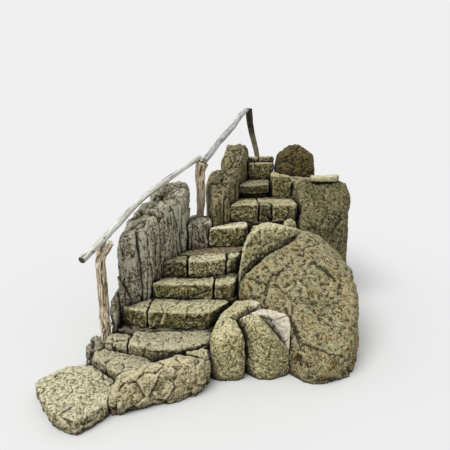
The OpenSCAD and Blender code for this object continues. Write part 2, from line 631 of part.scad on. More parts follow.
// rock at the right
module flank_boulder() {
    color(granite)
        stone(flank_boulder_plan, 0, flank_h * 0.66, boulder_rings(120, 20), 57, shut = [6, 7, 8], n = 32,
            ruf = 64, soften = 60, tip = [0.03, 0.82], cap = flank_h, swell = 28, chips = 3, bite = 70);
}
module flank_slab() {
    color(granite)
        stone(flank_slab_plan, 0, flank_h - 20, rock_rings(50, 20), 59, shut = [0, 2, 3, 4, 5], n = 24,
            ruf = 24, soften = 50, tip = [-0.22, 0], cap = flank_h, swell = 18, crown = 30);
}
module side_stone_low() {
    color(granite)
        stone(side_low_plan, level_3, level_4 - 30, rock_rings(20, 6), 64, n = 14, soften = 20);
}
module side_stone_high() {
    color(pale_granite)
        stone(side_high_plan, level_3, level_4 + 60, rock_rings(24, 6), 62, n = 16, soften = 20, crown = 24);
}
module ledge_rock() {
    color(granite)
        stone(ledge_plan, 0, ledge_h - 160, boulder_rings(80, -flare), 63, shut = [0, 4, 5], n = 24,
            ruf = 48, soften = 60, tip = [0.02, 0.9], cap = ledge_h, swell = 26);
}
module ledge_slab() {
    color(pale_granite)
        one_body()
            difference() {
                stone(ledge_slab_plan, ledge_h - 30, ledge_h + 60, slab_rings(90, 28, 8), 65,
                    shut = [3], n = 20, swell = 4);
                ledge_rock();
            }
}
module shoulder_rock() {
    color(granite)
        stone(shoulder_plan, 0, ledge_h - 25, boulder_rings(70, 12), 68, shut = [0, 3, 4, 5], n = 20,
            ruf = 44, soften = 60, tip = [-0.12, 0.1], cap = ledge_h + 40, swell = 24, crown = 30);
}
module head_rock() {
    color(granite)
        stone(head_rock_plan, 0, head_rock_h, boulder_rings(130, -flare), 69, shut = [0, 4, 5], n = 24,
            ruf = 56, soften = 80, swell = 30, chips = 3, bite = 110, crown = 130);
}

// rock at the left
module post_foot() {
    color(granite)
        stone(post_foot_plan, 0, post_foot_h, slab_rings(post_foot_h, 24, 8), 71, shut = [1], n = 18,
            ruf = 0, swell = 6);
}
module left_strip() {
    color(granite)
        stone(left_strip_plan, 0, level_1 + 130, column_rings(20, 6), 73, shut = [0, 1], n = 16,
            swell = 8);
}
module column_1() {
    color(granite)
        stone(column_1_plan, 0, rail_under(column_1_plan) - column_1_drop, column_rings(46, 0), 75,
            shut = [0, 1, 2, 3, 4], n = 28, ruf = 40, soften = 24, tip = [0.1, 0.42], swell = 26,
            chips = 1, bite = 60);
}
module column_2() {
    color(granite)
        stone(column_2_plan, 0, rail_under(column_2_plan) - column_2_drop, column_rings(40, 8), 77,
            shut = [0, 1, 4], n = 24, ruf = 24, soften = 30, tip = [0.05, 0.4], swell = 20);
}
module column_3() {
    color(granite)
        stone(column_3_plan, 0, rail_under(column_3_plan) - column_3_drop, column_rings(40, -flare), 79,
            shut = [0, 1, 5], n = 24, ruf = 24, soften = 30, tip = [-0.05, 0.3], swell = 20);
}
module post_pier() {
    color(granite)
        stone(post_pier_plan, 0, pier_h, slab_rings(pier_h, 30, 10), 81, shut = [0, 1, 2, 3, 4], n = 22,
            ruf = 6, soften = 36, swell = 12);
}
module bank_rock() {
    color(granite)
        stone(bank_rock_plan, 0, bank_h - 80, column_rings(60, -flare), 83, shut = [0, 1, 2, 3, 6], n = 28,
            ruf = 50, soften = 44, tip = [0.1, 0.6], cap = bank_h, swell = 30, chips = 2, bite = 80);
}
module upper_bank() {
    color(granite)
        stone(upper_bank_plan, 0, upper_bank_h - 90, column_rings(60, -flare), 85, shut = [0, 1, 5], n = 28,
            ruf = 68, soften = 44, tip = [0.1, 0.4], cap = upper_bank_h, swell = 32, chips = 3, bite = 110);
}

// packing under the treads, stepped up in level courses
module band() {
    polygon(concat([for (p = left_line) [p[1] + seat_gap / 2, p[0]]],
        [for (k = [len(right_line) - 1:-1:0]) [right_line[k][1] - seat_gap / 2, right_line[k][0]]]));
}
module course(z0, z1, front) {
    translate([0, 0, z0])
        linear_extrude(z1 - z0)
            intersection() {
                band();
                polygon(concat(front, [[right_5 + 900, back_y], [left_1 - 400, back_y]]));
            }
}
function straight(y) = [[left_1 - 400, y], [right_5 + 900, y]];
module hearting_low() {
    color(dark_granite) {
        course(0, landing_h, straight(front_y));
        course(landing_h, level_1, straight(nose_2 + lap + tuck));
        course(level_1, level_2, straight(nose_3 + lap + tuck));
    }
}
module hearting_mid() {
    color(dark_granite) {
        course(level_2, level_3 - earth_d, [[left_1 - 400, nose_3 + 223], [step3_seam_a, nose_3 + 223],
            [step3_seam_b, nose_3 + 303], [right_3, nose_3 + 333], [right_5 + 900, nose_3 + 333]]);
        course(level_3 - earth_d, level_3, straight(nose_4 + 18 + tuck));
        course(level_3, level_4, straight(nose_5 + lap + tuck));
    }
}
module hearting_high() {
    color(dark_granite) {
        course(level_4, level_5, straight(nose_6 + lap + tuck));
        course(level_5, level_6, straight(nose_7 + lap + tuck));
        course(level_6, level_7, straight(nose_8 + lap + tuck));
    }
}

// posts and rails
// a rough body with cut faces is kept as one faceted body at its own size
module one_body() {
    resize([0, 0, 0])
        children();
}
post_foot_h = foot_h + 50;
post_low_path = [[post_x - 29, nose_1 + 25, post_foot_h], [post_x - 37, nose_1 + 20, landing_h + 55],
    [post_x - 31, nose_1 + 14, landing_h + 290], [post_x - 24, nose_1 + 8, landing_h + 522],
    [post_x - 27, nose_1 + 4, landing_h + 740], [post_x + 5, nose_1 + 4, landing_h + 830],
    [post_x + 91, nose_1 + 4, landing_h + 930]];
splinter_path = [[post_x - 12, nose_1 - 10, landing_h + 250], [post_x + 22, nose_1 - 24, landing_h + 120],
    [post_x + 66, nose_1 - 34, landing_h + 34]];
post_mid_y = nose_5 + 50;
post_mid_path = [[left_4 - 102, post_mid_y, pier_h], [left_4 - 91, post_mid_y, level_4 + 270],
    [left_4 - 85, post_mid_y, level_4 + 470], [left_4 - 97, post_mid_y, level_4 + 670],
    [left_4 - 60, post_mid_y - 10, level_4 + 790]];
post_top_y = head_back + 80;
post_top_path = [[left_7 + 213, post_top_y, level_7], [left_7 + 193, post_top_y, level_8 + 24],
    [left_7 + 112, post_top_y, level_8 + 330], [left_7 + 60, post_top_y, level_8 + 560],
    [left_7 + 35, post_top_y, level_8 + 806]];
rail_low_radii = [rail_r, rail_r + 1, rail_r, rail_r - 1, rail_r - 2, rail_r - 4];
rail_high_radii = [upper_r, upper_r + 2, upper_r, upper_r - 3, upper_r - 5];
module rail_low(grow = 0) {
    color(bleached)
        timber(rail_low_path, rail_low_radii, 97, grow = grow);
}
module rail_high(grow = 0) {
    color(bleached)
        timber(rail_high_path, rail_high_radii, 99, grow = grow);
}
module notched() {
    one_body()
        difference() {
            children();
            rail_low(seat_gap);
            rail_high(seat_gap);
        }
}
module post_low() {
    color(bark_brown)
        notched()
            union() {
                timber(post_low_path, [for (k = [8, 0, 0, -3, 0, 2, -10]) low_post_r + k], 91, ruf = 5,
                    up = [0, 1, 0]);
                timber(splinter_path, [10, 18, 9], 92, ruf = 3, n = 8, up = [0, 1, 0]);
            }
}
module post_mid() {
    color(bark_brown)
        notched()
            timber(post_mid_path, [for (k = [-12, -4, 2, 10, 26]) mid_post_r + k], 93, ruf = 6,
                up = [0, 1, 0]);
}
module post_top() {
    color(bark_brown)
        notched()
            timber(post_top_path, [for (k = [-14, -12, -4, 2, 6]) top_post_r + k], 95, ruf = 5,
                up = [0, 1, 0]);
}

foot_slab();
lower_slab();
front_boulder();
front_chock();
landing_slab();
left_chock();
step1_left();
step1_right();
step2_left();
step2_right();
step3_left();
step3_centre();
step3_right();
packed_tread();
step4_block();
step5_left();
step5_right();
step5_slab();
step6_slab();
step6_wedge();
step7_block();
head_left();
head_right();
pile_long();
pile_back();
pile_front();
pile_left();
flank_boulder();
flank_slab();
side_stone_low();
side_stone_high();
ledge_rock();
ledge_slab();
cheek_block();
shoulder_rock();
head_rock();
post_foot();
left_strip();
column_1();
column_2();
column_3();
post_pier();
bank_rock();
upper_bank();
hearting_low();
hearting_mid();
hearting_high();
post_low();
post_mid();
post_top();
rail_low();
rail_high();
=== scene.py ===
"""Looks of the outdoor stone steps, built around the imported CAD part. Metres, +Z up, +Y up the climb."""

import math

import bpy
import numpy as np
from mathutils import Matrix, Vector, noise


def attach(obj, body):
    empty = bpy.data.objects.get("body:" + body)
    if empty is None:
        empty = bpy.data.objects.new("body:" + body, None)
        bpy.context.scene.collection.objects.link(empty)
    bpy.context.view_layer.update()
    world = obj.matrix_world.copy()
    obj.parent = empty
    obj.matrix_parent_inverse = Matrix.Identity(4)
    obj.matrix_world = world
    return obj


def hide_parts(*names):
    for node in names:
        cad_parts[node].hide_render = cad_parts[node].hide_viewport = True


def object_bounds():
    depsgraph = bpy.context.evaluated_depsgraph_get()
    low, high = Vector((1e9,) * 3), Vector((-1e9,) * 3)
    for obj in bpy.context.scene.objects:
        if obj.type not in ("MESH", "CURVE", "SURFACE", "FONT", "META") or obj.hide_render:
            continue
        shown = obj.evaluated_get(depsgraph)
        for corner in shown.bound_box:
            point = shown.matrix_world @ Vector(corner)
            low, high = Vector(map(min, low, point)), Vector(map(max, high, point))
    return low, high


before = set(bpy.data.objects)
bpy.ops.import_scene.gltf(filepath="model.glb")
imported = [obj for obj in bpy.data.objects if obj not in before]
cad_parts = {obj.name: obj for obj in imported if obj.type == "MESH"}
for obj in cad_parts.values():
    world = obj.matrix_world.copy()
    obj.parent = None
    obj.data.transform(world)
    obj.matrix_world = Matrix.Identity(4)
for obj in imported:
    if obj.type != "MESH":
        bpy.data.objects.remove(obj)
cad_low, cad_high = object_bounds()
bpy.ops.object.select_all(action="DESELECT")

# Stones on the ground in front of the flight.
# Undressed granite slabs laid flat in the soil, with one boulder set on edge beside them.
# Feet have worn their tops pale, and their sides keep ochre stains, damp soil marks and painted shade in the
# joints.
coarseness = 1.0
WELD = 0.00005


def merged_copy(node, name):
    """a copy of a CAD node's mesh with its loose corners joined, selected and active"""
    bpy.ops.object.select_all(action="DESELECT")
    piece = bpy.data.objects.new(name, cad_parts[node].data.copy())
    bpy.context.scene.collection.objects.link(piece)
    piece.data.materials.clear()
    bpy.context.view_layer.objects.active = piece
    piece.select_set(True)
    bpy.ops.object.mode_set(mode="EDIT")
    bpy.ops.mesh.select_all(action="SELECT")
    bpy.ops.mesh.remove_doubles(threshold=WELD)
    bpy.ops.object.mode_set(mode="OBJECT")
    return piece


def even_cells(piece, cell, rounding):
    """gives the piece an even skin of small cells and softens its facets"""
    skin = piece.modifiers.new("skin", "REMESH")
    skin.mode = "VOXEL"
    skin.voxel_size = cell * coarseness
    bpy.ops.object.modifier_apply(modifier="skin")
    soft = piece.modifiers.new("soft", "SMOOTH")
    soft.factor = 0.5
    soft.iterations = rounding
    bpy.ops.object.modifier_apply(modifier="soft")


def points_and_normals(piece):
    """every point of the piece and its normal, one row each"""
    count = len(piece.data.vertices)
    points = np.empty(count * 3)
    normals = np.empty(count * 3)
    piece.data.vertices.foreach_get("co", points)
    piece.data.vertex_normals.foreach_get("vector", normals)
    return points.reshape(-1, 3), normals.reshape(-1, 3)


def put_points(piece, points):
    """gives the piece new places for its points, kept inside the whole object's box"""
    piece.data.vertices.foreach_set("co", np.clip(points, cad_low, cad_high).ravel())
    piece.data.update()


def mark_points(piece, name, values, kind="FLOAT", field="value"):
    """keeps a value or a vector at every point, under a name that a material reads"""
    piece.data.attributes.new(name, kind, "POINT").data.foreach_set(field, values.ravel())


def carve(piece, depth_at, level=True):
    """moves every point along its normal by what depth_at gives for it, less the mean when level"""
    points, normals = points_and_normals(piece)
    depth = np.array([depth_at(Vector(p), Vector(n)) for p, n in zip(points, normals)])
    if level:
        depth -= depth.mean()
    put_points(piece, points + normals * depth[:, None])


def tilt_of(cell_point):
    """a fixed slope for one split face of the rock, with large factors so that neighbours differ"""
    x, y, z = cell_point
    turns = (x * 91.7 + z * 37.1, y * 73.3 + x * 19.7, z * 57.9 + y * 41.3)
    return Vector([math.sin(turn) for turn in turns])


LUMPS_PER_M, GRIT_PER_M, PITS_PER_M = 3.1, 21, 27
CHIPS_PER_M, SMALL_CHIPS_PER_M = 13, 31
CLEFTS_PER_M, SMALL_CLEFTS_PER_M = 4.3, 9.7
UPRIGHT = Vector((1, 1, 0.35))


def rock_face(lump, split, grit, split_size, grain=(1, 1, 1), shift=0.0, chip=0.0, cleft=0.0):
    """depth of a weathered granite face: slow lumps, split facets, clefts, chipped edges and grit"""
    offset = Vector((shift * 7.31, shift * 3.77, shift * 5.13))
    grain = Vector(grain)

    def line(place, width):
        """1 on the lines where a slow noise changes sign, down to 0 beside them"""
        return max(0.0, 1 - abs(noise.noise(place + offset)) / width)

    def depth_at(p, n):
        q = p * grain + offset
        slow = noise.noise(q * LUMPS_PER_M)
        distances, centres = noise.voronoi(q / split_size)
        facet = (q / split_size - centres[0]).dot(tilt_of(centres[0]))
        seam = min(1.0, (distances[1] - distances[0]) * 5)
        fine = noise.fractal(q * GRIT_PER_M, 0.6, 2.1, 4)
        fine -= 1.2 * max(0.0, noise.noise(q * PITS_PER_M) - 0.28)
        if cleft:
            fine -= cleft / grit * line(q * UPRIGHT * CLEFTS_PER_M, width=0.07)
            fine -= 0.4 * cleft / grit * line(q * UPRIGHT * SMALL_CLEFTS_PER_M, width=0.10)
        edge = 1 - max(abs(n.x), abs(n.y), abs(n.z))
        broken = 0.35 + noise.noise(q * CHIPS_PER_M) + 0.5 * noise.noise(q * SMALL_CHIPS_PER_M)
        worn_edge = edge * max(0.0, broken)
        return lump * slow + split * (facet * 0.7 + seam * 0.2) + grit * fine - chip * worn_edge

    return depth_at


def groove(a, b, width, depth):
    """depth of a crack that runs from a to b, wavering a little and running out at both ends"""
    a, b = Vector(a), Vector(b)
    run = b - a

    def depth_at(p, n):
        waver = 0.012 * noise.noise(p * 19)
        t = max(0.0, min(1.0, (p - a).dot(run) / run.length_squared))
        away = (p - a - run * t).length + waver
        return -depth * max(0.0, 1 - away / width) ** 1.5 * (1 - 0.5 * abs(2 * t - 1))

    return depth_at


def mark_relief(piece, steps=7):
    """keeps how far each point stands proud of the skin around it, which the worn rims with painted highlight
    and the grime with painted shade in pits follow
    """
    points, normals = points_and_normals(piece)
    ends = np.empty(len(piece.data.edges) * 2, dtype=np.int32)
    piece.data.edges.foreach_get("vertices", ends)
    one, other = ends.reshape(-1, 2).T
    count = len(points)
    shares = np.bincount(ends, minlength=count)[:, None]
    smooth = points
    for _ in range(steps):
        sums = [np.bincount(one, smooth[other, k], count) + np.bincount(other, smooth[one, k], count)
                for k in range(3)]
        smooth = np.stack(sums, axis=1) / shares
    mark_points(piece, "proud", np.einsum("ij,ij->i", points - smooth, normals))


def spare_faces(piece, share):
    """drops the faces that the shape doesn't need, down to this share of them"""
    thinner = piece.modifiers.new("thinner", "DECIMATE")
    thinner.ratio = share
    bpy.ops.object.modifier_apply(modifier="thinner")
    points, _ = points_and_normals(piece)
    put_points(piece, points)


def dress(piece, node, material):
    """finishes a piece that stands in for a CAD node: smooth, in its material, on the one body"""
    bpy.ops.object.shade_smooth()
    piece.data.materials.append(material)
    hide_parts(node)
    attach(piece, "root")


def weathered(node, material, face, cell, cracks=(), rounding=1, kind="stone", share=0.58):
    """a stone, or packed rubble or earth, over its CAD node, with a face and cracks cut into it"""
    piece = merged_copy(node, f"{node}_{kind}")
    even_cells(piece, cell, rounding)
    carve(piece, face)
    for crack in cracks:
        carve(piece, crack, level=False)
    mark_relief(piece)
    spare_faces(piece, share)
    dress(piece, node, material)
    return piece


FLOAT, COLOUR = "NodeSocketFloat", "NodeSocketColor"


def node_group(name, inputs, outputs):
    """an empty shader group with its sockets, and the nodes that hold them"""
    group = bpy.data.node_groups.new(name, "ShaderNodeTree")
    for label, kind, value in inputs:
        socket = group.interface.new_socket(label, in_out="INPUT", socket_type=kind)
        socket.default_value = value
    for label, kind in outputs:
        group.interface.new_socket(label, in_out="OUTPUT", socket_type=kind)
    return group, group.nodes.new("NodeGroupInput").outputs, group.nodes.new("NodeGroupOutput").inputs


def wire(tree, source, socket):
    """links a socket to a node's output, or sets it to a plain value"""
    if hasattr(source, "is_output"):
        tree.links.new(source, socket)
    else:
        socket.default_value = source


def noise_of(tree, vector, scale, detail, rough, twist=0.0):
    """soft noise with this many cells to the metre"""
    node = tree.nodes.new("ShaderNodeTexNoise")
    wire(tree, vector, node.inputs["Vector"])
    wire(tree, scale, node.inputs["Scale"])
    node.inputs["Detail"].default_value = detail
    node.inputs["Roughness"].default_value = rough
    node.inputs["Distortion"].default_value = twist
    return node.outputs["Fac"]


def between(tree, value, low, high, start=0.0, end=1.0):
    """value mapped from low..high to start..end, and held there"""
    node = tree.nodes.new("ShaderNodeMapRange")
    node.interpolation_type = "SMOOTHSTEP"
    for socket, given in zip(node.inputs, (value, low, high, start, end)):
        wire(tree, given, socket)
    return node.outputs["Result"]


def maths(tree, kind, a, b, c=0.0):
    """one sum, in the words of the Math node"""
    node = tree.nodes.new("ShaderNodeMath")
    node.operation = kind
    for socket, given in zip(node.inputs, (a, b, c)):
        wire(tree, given, socket)
    return node.outputs["Value"]


def blend_colour(tree, share, a, b, kind="MIX"):
    """colour a with this share of b over it; sockets 6 and 7 and output 2 are a Mix node's colours"""
    node = tree.nodes.new("ShaderNodeMix")
    node.data_type = "RGBA"
    node.blend_type = kind
    wire(tree, share, node.inputs[0])
    wire(tree, a, node.inputs[6])
    wire(tree, b, node.inputs[7])
    return node.outputs[2]


def lay_over(tree, mask, strength, under, over):
    """colour under, with colour over laid on it where the mask is, at this strength"""
    return blend_colour(tree, maths(tree, "MULTIPLY", mask, strength), under, over)


def opaque(colour, share=1.0):
    """a colour, or a darker share of it, with full alpha"""
    return tuple(share * part for part in colour) + (1,)


def place_of(tree):
    """the place in the object's own frame, in metres"""
    return tree.nodes.new("ShaderNodeTexCoord").outputs["Object"]


def point_value(tree, name):
    """what mark_points kept under this name"""
    node = tree.nodes.new("ShaderNodeAttribute")
    node.attribute_name = name
    return node.outputs


def granite_grain():
    """the mineral grain of coarse granite: dark and pale crystals, flecks, pits and slow patches"""
    tree, given, result = node_group(
        "granite_grain",
        [("Pale", COLOUR, opaque((0.5, 0.5, 0.5))), ("Middle", COLOUR, opaque((0.3, 0.3, 0.3))),
         ("Dark", COLOUR, opaque((0.1, 0.1, 0.1))), ("Stretch", FLOAT, 1.0), ("Fineness", FLOAT, 1.0)],
        [("Colour", COLOUR), ("Height", FLOAT), ("Speck", FLOAT)])
    stretch = tree.nodes.new("ShaderNodeCombineXYZ")
    stretch.inputs[0].default_value = 1
    stretch.inputs[1].default_value = 1
    tree.links.new(given["Stretch"], stretch.inputs[2])
    stretched = tree.nodes.new("ShaderNodeVectorMath")
    stretched.operation = "MULTIPLY"
    tree.links.new(place_of(tree), stretched.inputs[0])
    tree.links.new(stretch.outputs[0], stretched.inputs[1])
    spot = stretched.outputs[0]

    jitter = tree.nodes.new("ShaderNodeTexNoise")
    jitter.inputs["Scale"].default_value = 110
    jitter.inputs["Detail"].default_value = 5
    tree.links.new(spot, jitter.inputs["Vector"])
    wavering = tree.nodes.new("ShaderNodeVectorMath")
    wavering.operation = "MULTIPLY_ADD"
    wavering.inputs[1].default_value = (0.014, 0.014, 0.014)
    tree.links.new(jitter.outputs["Color"], wavering.inputs[0])
    tree.links.new(spot, wavering.inputs[2])

    def cells(per_metre):
        """how far a place is from its ragged cell's middle, and a chance value that the cell keeps"""
        cell = tree.nodes.new("ShaderNodeTexVoronoi")
        wire(tree, maths(tree, "MULTIPLY", given["Fineness"], per_metre), cell.inputs["Scale"])
        tree.links.new(wavering.outputs[0], cell.inputs["Vector"])
        parts = tree.nodes.new("ShaderNodeSeparateColor")
        tree.links.new(cell.outputs["Color"], parts.inputs[0])
        return cell.outputs["Distance"], parts.outputs[0]

    _, crystal = cells(per_metre=78.0)
    grit = noise_of(tree, spot, maths(tree, "MULTIPLY", given["Fineness"], 72.0), detail=6, rough=0.8)
    slow_patch = noise_of(tree, spot, 2.6, detail=6, rough=0.62, twist=0.5)
    mid_patch = noise_of(tree, spot, 12.0, detail=8, rough=0.75, twist=0.3)
    speck = maths(tree, "MULTIPLY_ADD", crystal, 0.46, maths(tree, "MULTIPLY", grit, 1.15))
    speck = maths(tree, "MULTIPLY_ADD", mid_patch, 0.30, speck)
    speck = maths(tree, "MULTIPLY_ADD", slow_patch, 0.35, speck)
    colour = blend_colour(tree, between(tree, speck, 1.13, 1.27), given["Middle"], given["Pale"])
    colour = blend_colour(tree, between(tree, speck, 1.11, 0.97), colour, given["Dark"])

    pit = between(tree, noise_of(tree, spot, 41.0, detail=3, rough=0.7), 0.60, 0.66)
    colour = lay_over(tree, pit, 0.8, colour, opaque((0.012, 0.010, 0.006)))

    from_middle, fleck = cells(per_metre=56.0)
    inside = between(tree, from_middle, 0.52, 0.40)
    pale_fleck = maths(tree, "MULTIPLY", inside, between(tree, fleck, 0.62, 0.68))
    dark_fleck = maths(tree, "MULTIPLY", inside, between(tree, fleck, 0.36, 0.30))
    colour = lay_over(tree, pale_fleck, 0.80, colour, given["Pale"])
    colour = lay_over(tree, dark_fleck, 0.90, colour, given["Dark"])

    sand = between(tree, noise_of(tree, spot, 310.0, detail=3, rough=0.8), 0.36, 0.64, start=0.55)
    colour = blend_colour(tree, sand, blend_colour(tree, 0.5, colour, given["Dark"]), colour)

    height = maths(tree, "MULTIPLY_ADD", grit, 0.8, maths(tree, "MULTIPLY", mid_patch, 0.9))
    height = maths(tree, "MULTIPLY_ADD", crystal, 0.22, height)
    height = maths(tree, "SUBTRACT", height, maths(tree, "MULTIPLY", pit, 0.5))
    height = maths(tree, "SUBTRACT", height, maths(tree, "MULTIPLY", dark_fleck, 0.35))
    speck = maths(tree, "MULTIPLY_ADD", pale_fleck, 0.20, speck)
    speck = maths(tree, "MULTIPLY_ADD", dark_fleck, -0.30, speck)
    wire(tree, colour, result["Colour"])
    wire(tree, height, result["Height"])
    wire(tree, speck, result["Speck"])
    return tree


def worn_top():
    """faces that look up, rubbed pale by feet and washed by rain"""
    tree, given, result = node_group(
        "worn_top", [("Amount", FLOAT, 1.0), ("Speck", FLOAT, 1.2)], [("Mask", FLOAT)])
    facing = tree.nodes.new("ShaderNodeSeparateXYZ")
    tree.links.new(tree.nodes.new("ShaderNodeNewGeometry").outputs["Normal"], facing.inputs[0])
    up = between(tree, facing.outputs["Z"], 0.35, 0.85)
    scuff = between(tree, given["Speck"], 0.84, 1.12, start=0.05)
    worn = maths(tree, "MULTIPLY", maths(tree, "MULTIPLY", up, scuff), given["Amount"])
    wire(tree, worn, result["Mask"])
    return tree


def hollows():
    """0 in joints and hollows, which hold soil and painted shade, and 1 in the open"""
    tree, given, result = node_group("hollows", [("Reach", FLOAT, 0.16)], [("Open", FLOAT)])
    shelter = tree.nodes.new("ShaderNodeAmbientOcclusion")
    shelter.samples = 8
    wire(tree, given["Reach"], shelter.inputs["Distance"])
    wire(tree, between(tree, shelter.outputs["AO"], 0.30, 0.85), result["Open"])
    return tree


def lichen_crust():
    """patches of grey-white lichen with ragged rims"""
    tree, given, result = node_group("lichen", [("Amount", FLOAT, 0.5)], [("Mask", FLOAT)])
    colony = noise_of(tree, place_of(tree), 4.3, detail=4, rough=0.55)
    crust = noise_of(tree, place_of(tree), 33.0, detail=6, rough=0.7)
    limit = maths(tree, "SUBTRACT", 0.78, maths(tree, "MULTIPLY", given["Amount"], 0.3))
    patchy = maths(tree, "MULTIPLY_ADD", colony, 0.55, maths(tree, "MULTIPLY", crust, 0.55))
    wire(tree, between(tree, maths(tree, "SUBTRACT", patchy, limit), 0.0, 0.05), result["Mask"])
    return tree


def moss_film():
    """the thin olive film of moss and algae on damp rock"""
    tree, given, result = node_group("moss_film", [("Amount", FLOAT, 0.5)], [("Mask", FLOAT)])
    drift = noise_of(tree, place_of(tree), 5.7, detail=7, rough=0.66, twist=0.6)
    film = maths(tree, "ADD", drift, maths(tree, "MULTIPLY", given["Amount"], 0.3))
    wire(tree, between(tree, film, 0.58, 0.76), result["Mask"])
    return tree


GRAIN, WORN_TOP, HOLLOWS = granite_grain(), worn_top(), hollows()
LICHEN, MOSS_FILM = lichen_crust(), moss_film()


def grouped(tree, group, **values):
    """a shader group placed in a material with its own values"""
    node = tree.nodes.new("ShaderNodeGroup")
    node.node_tree = group
    for label, value in values.items():
        wire(tree, value, node.inputs[label])
    return node.outputs


def empty_material(name, specular):
    """a material with the Principled shader only"""
    material = bpy.data.materials.new(name)
    material.use_nodes = True
    shader = material.node_tree.nodes["Principled BSDF"].inputs
    shader["Specular IOR Level"].default_value = specular
    return material, material.node_tree, shader


def raise_bumps(tree, height, distance, shader):
    """fine relief in the light, from a height that varies over the surface"""
    bump = tree.nodes.new("ShaderNodeBump")
    bump.inputs["Strength"].default_value = 1.0
    bump.inputs["Distance"].default_value = distance
    tree.links.new(height, bump.inputs["Height"])
    tree.links.new(bump.outputs["Normal"], shader["Normal"])


# the third colour is soil in the joints together with painted shade
MOSS_OLIVE, LICHEN_GREY, JOINT_SOIL_AND_SHADE = (0.060, 0.058, 0.013), (0.62, 0.61, 0.46), (0.020, 0.016, 0.009)
IRON_STAIN = (1.0, 0.72, 0.42)


def granite(name, pale, middle, dark, top, worn=1.0, lichen=0.4, moss=0.4, ochre=0.0, stretch=1.0,
            relief=1.0, fineness=1.0, lit_broken_end=None):
    """weathered granite: grain, moss film, ochre stains, lichen, worn top, worn rims with painted highlight,
    grime with painted shade in pits, dark joints of soil and painted shade, and pale broken faces that are
    partly painted light
    """
    material, tree, shader = empty_material(name, specular=0.25)
    grain = grouped(tree, GRAIN, Pale=opaque(pale), Middle=opaque(middle), Dark=opaque(dark),
                    Stretch=stretch, Fineness=fineness)
    film = grouped(tree, MOSS_FILM, Amount=moss)["Mask"]
    colour = lay_over(tree, film, 0.75, grain["Colour"], opaque(MOSS_OLIVE))
    if ochre:
        rust = noise_of(tree, place_of(tree), 7.3, detail=7, rough=0.72)
        rust = between(tree, rust, 0.58 - ochre * 0.2, 0.70 - ochre * 0.2)
        stain = blend_colour(tree, 1.0, colour, opaque(IRON_STAIN), "MULTIPLY")
        colour = lay_over(tree, rust, 0.9, colour, stain)
    crusted = grouped(tree, LICHEN, Amount=lichen)["Mask"]
    colour = lay_over(tree, crusted, 0.85, colour, opaque(LICHEN_GREY))
    rubbed = grouped(tree, WORN_TOP, Amount=worn, Speck=grain["Speck"])["Mask"]
    colour = lay_over(tree, rubbed, 0.85, colour, opaque(top))
    # pale broken faces: the paler grain of a new break together with painted light, against the shadow that
    # falls on these ends
    if lit_broken_end:
        pale_grain = between(tree, grain["Speck"], 0.95, 1.20)
        lit_broken_face = blend_colour(tree, pale_grain, opaque(lit_broken_end, 0.8), opaque(lit_broken_end))
        colour = blend_colour(tree, point_value(tree, "broken_end_lit")["Fac"], colour, lit_broken_face)
    proud = point_value(tree, "proud")["Fac"]
    # worn rims and painted highlight: edges that stand proud go towards the pale top colour
    rim_wear_and_highlight = maths(tree, "MULTIPLY", between(tree, proud, 0.0004, 0.0045), 0.55)
    colour = lay_over(tree, rim_wear_and_highlight, worn, colour, opaque(top))
    # grime and painted shade: pits and creases that sink below the skin go darker
    grime_and_shade = between(tree, proud, -0.0002, -0.0042, end=0.8)
    colour = blend_colour(tree, grime_and_shade, colour, opaque(dark, 0.5))
    # painted shade: the ambient occlusion turns joints and hollows dark, with soil and with the shade that
    # falls there
    sheltered = maths(tree, "SUBTRACT", 1.0, grouped(tree, HOLLOWS)["Open"])
    colour = blend_colour(tree, sheltered, colour, opaque(JOINT_SOIL_AND_SHADE))
    tree.links.new(colour, shader["Base Color"])
    tree.links.new(maths(tree, "MULTIPLY_ADD", crusted, 0.08, 0.86), shader["Roughness"])
    raise_bumps(tree, grain["Height"], 0.018 * relief, shader)
    return material


ground_granite = granite(
    "worn_ground_granite", pale=(0.72, 0.66, 0.42), middle=(0.36, 0.32, 0.165), dark=(0.130, 0.110, 0.050),
    top=(0.80, 0.75, 0.51), worn=0.95, lichen=0.35, moss=0.2)
landing_granite = granite(
    "landing_granite", pale=(0.64, 0.58, 0.37), middle=(0.30, 0.265, 0.135), dark=(0.110, 0.092, 0.042),
    top=(0.66, 0.61, 0.41), worn=0.95, lichen=0.35, moss=0.25)
ochre_granite = granite(
    "ochre_granite", pale=(0.74, 0.66, 0.40), middle=(0.38, 0.32, 0.16), dark=(0.130, 0.105, 0.045),
    top=(0.76, 0.69, 0.45), worn=0.85, lichen=0.25, moss=0.25, ochre=0.2)
# each with the depth of its lumps and of its split facets, and the size of its cells
GROUND_STONES = [
    ("foot_slab", ground_granite, 0.007, 0.016, 0.008),
    ("lower_slab", landing_granite, 0.008, 0.018, 0.008),
    ("landing_slab", landing_granite, 0.009, 0.018, 0.008),
    ("front_boulder", ochre_granite, 0.016, 0.026, 0.009),
    ("front_chock", ochre_granite, 0.012, 0.022, 0.008),
    ("left_chock", landing_granite, 0.012, 0.022, 0.008)]
for number, (node, finish, lump, split, cell) in enumerate(GROUND_STONES):
    face = rock_face(lump, split, grit=0.006, split_size=0.16, shift=number, chip=0.03)
    weathered(node, finish, face, cell)

# The built steps.
# Split granite blocks laid dry, each course on the one below, with open joints between them.
# Their treads are rubbed pale and their fronts stay dark with damp, moss, soil and painted shade.
step_granite = granite(
    "step_granite", pale=(0.42, 0.37, 0.155), middle=(0.120, 0.102, 0.031), dark=(0.030, 0.024, 0.007),
    top=(0.76, 0.70, 0.43), worn=1.0, lichen=0.1, moss=0.5)
upper_granite = granite(
    "upper_step_granite", pale=(0.46, 0.40, 0.18), middle=(0.135, 0.114, 0.040), dark=(0.028, 0.022, 0.008),
    top=(0.62, 0.56, 0.33), worn=1.0, lichen=0.1, moss=0.45, fineness=0.75)
